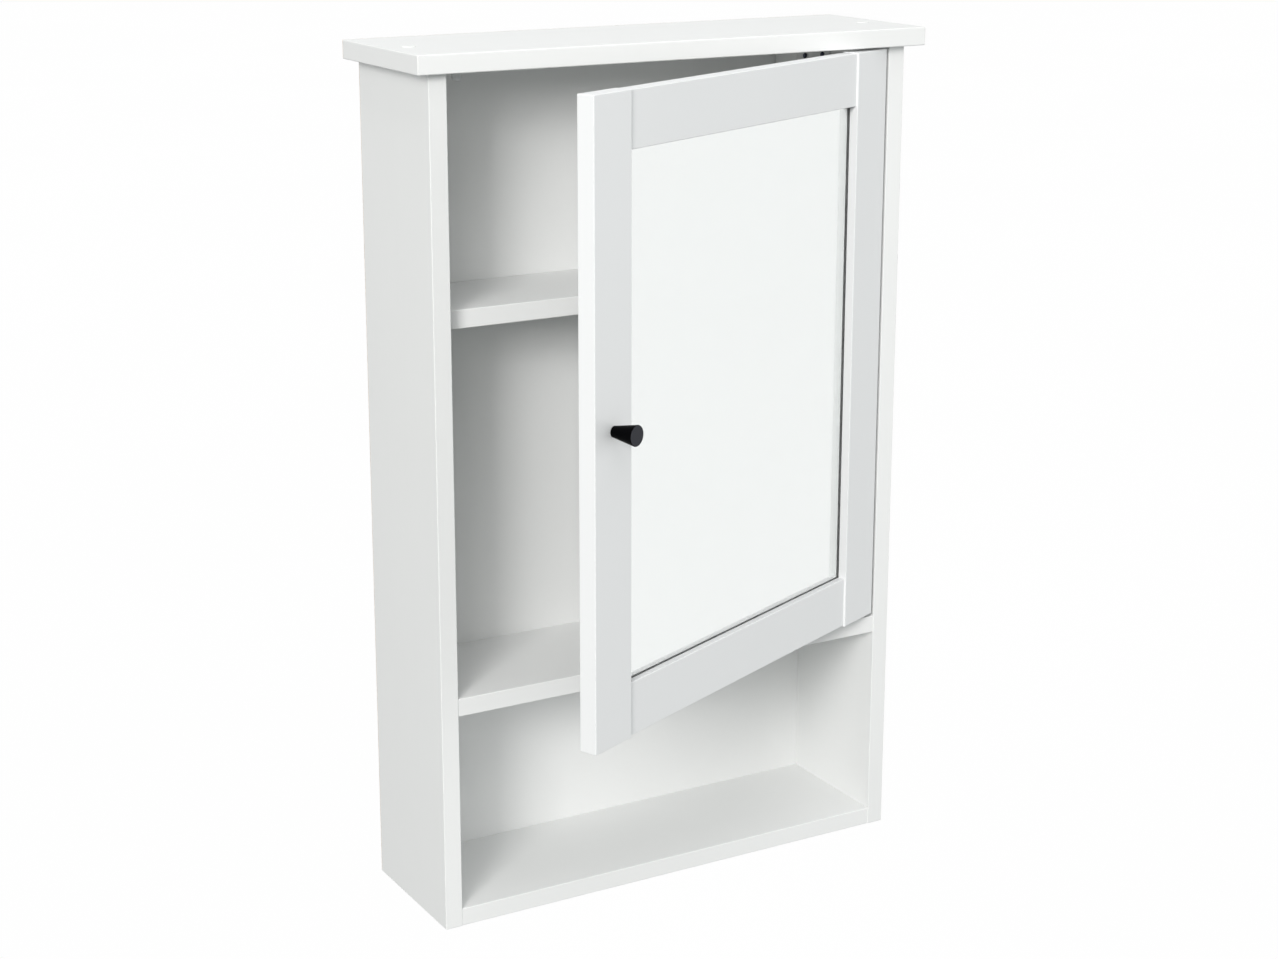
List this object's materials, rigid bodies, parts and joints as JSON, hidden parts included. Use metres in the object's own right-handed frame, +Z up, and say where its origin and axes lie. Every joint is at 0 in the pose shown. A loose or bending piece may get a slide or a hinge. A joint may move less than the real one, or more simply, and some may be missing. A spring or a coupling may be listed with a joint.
{
  "type": "medicine cabinet with mirror",
  "caption": "Wall-hung bathroom cabinet with an inset mirrored door on concealed hinges, shelves behind it and an open compartment below.",
  "frame": {"origin": "centre of the four wall-plate screw holes, on the wall plane", "axes": "+Y towards the wall, +Z up, +X to the viewer's right; the door faces -Y"},
  "size_m": [0.552, 0.3636, 0.8508],
  "materials": {
    "white_board": "white foil-wrapped board, satin",
    "door_paint": "white painted fibreboard, satin",
    "back_board": "thin white-faced hardboard, matt",
    "mirror": "silvered float glass",
    "black_metal": "black satin lacquer",
    "white_plastic": "moulded white plastic",
    "clear_plastic": "milky translucent plastic",
    "beech": "fluted beech dowel",
    "dark_zinc": "dark passivated zinc",
    "nickel_steel": "nickel-plated pressed steel",
    "zinc_steel": "bright zinc-plated steel"
  },
  "bodies": {
    "carcass": {"back_panel": "back_board", "bottom_board": "white_board", "cam_bolts": "zinc_steel", "cam_locks": "dark_zinc", "cover_cap_left": "white_plastic", "cover_cap_right": "white_plastic", "door_stop": "clear_plastic", "fixed_shelf": "white_board", "hanger_adjusting_screws": "dark_zinc", "hanger_fixing_screws": "zinc_steel", "hanger_hook_left": "nickel_steel", "hanger_hook_right": "nickel_steel", "hanger_housing_left": "white_plastic", "hanger_housing_right": "white_plastic", "hinge_arm_lower": "nickel_steel", "hinge_arm_pins": "zinc_steel", "hinge_arm_screws": "zinc_steel", "hinge_arm_upper": "nickel_steel", "hinge_plate_lower": "nickel_steel", "hinge_plate_screws": "zinc_steel", "hinge_plate_upper": "nickel_steel", "middle_shelf": "white_board", "panel_dowels": "beech", "shelf_pins": "zinc_steel", "side_panel_left": "white_board", "side_panel_right": "white_board", "top_board": "white_board", "top_screws": "zinc_steel", "wall_plate_left": "nickel_steel", "wall_plate_right": "nickel_steel"},
    "door": {"mirror_glass": "mirror", "mirror_backing": "back_board", "frame_dowels": "beech", "door_knob": "black_metal", "knob_screw": "zinc_steel", "hinge_cup_pins": "zinc_steel", "hinge_cup_screws": "zinc_steel", "door_stile_left": "door_paint", "door_stile_right": "door_paint", "door_rail_top": "door_paint", "door_rail_bottom": "door_paint", "backing_bead_left": "back_board", "backing_bead_right": "back_board", "backing_bead_top": "back_board", "backing_bead_bottom": "back_board", "hinge_cup_upper": "nickel_steel", "hinge_cup_lower": "nickel_steel"},
    "outer_links": {"hinge_outer_link_upper": "nickel_steel", "hinge_outer_link_lower": "nickel_steel", "hinge_knee_pins": "zinc_steel"},
    "inner_links": {"hinge_inner_link_upper": "nickel_steel", "hinge_inner_link_lower": "nickel_steel"}
  },
  "joints": [
    {"name": "door_swing", "type": "hinge", "parent": "carcass", "child": "door", "pos_m": [0.2425, -0.1556, -0.239], "axis": [0, 0, 1], "range_deg": [-23.8, 71.2]},
    {"name": "outer_link_swing", "type": "hinge", "parent": "carcass", "child": "outer_links", "pos_m": [0.224, -0.128, -0.239], "axis": [0, 0, 1], "range_deg": [-23.8, 71.2]},
    {"name": "inner_link_swing", "type": "hinge", "parent": "outer_links", "child": "inner_links", "pos_m": [0.19566, -0.12148, -0.239], "axis": [0, 0, 1], "range_deg": [-71.2, 23.8]}
  ],
  "couplings": [
    {"joint": "outer_link_swing", "follows": "door_swing", "ratio": 1},
    {"joint": "inner_link_swing", "follows": "door_swing", "ratio": -1}
  ]
}
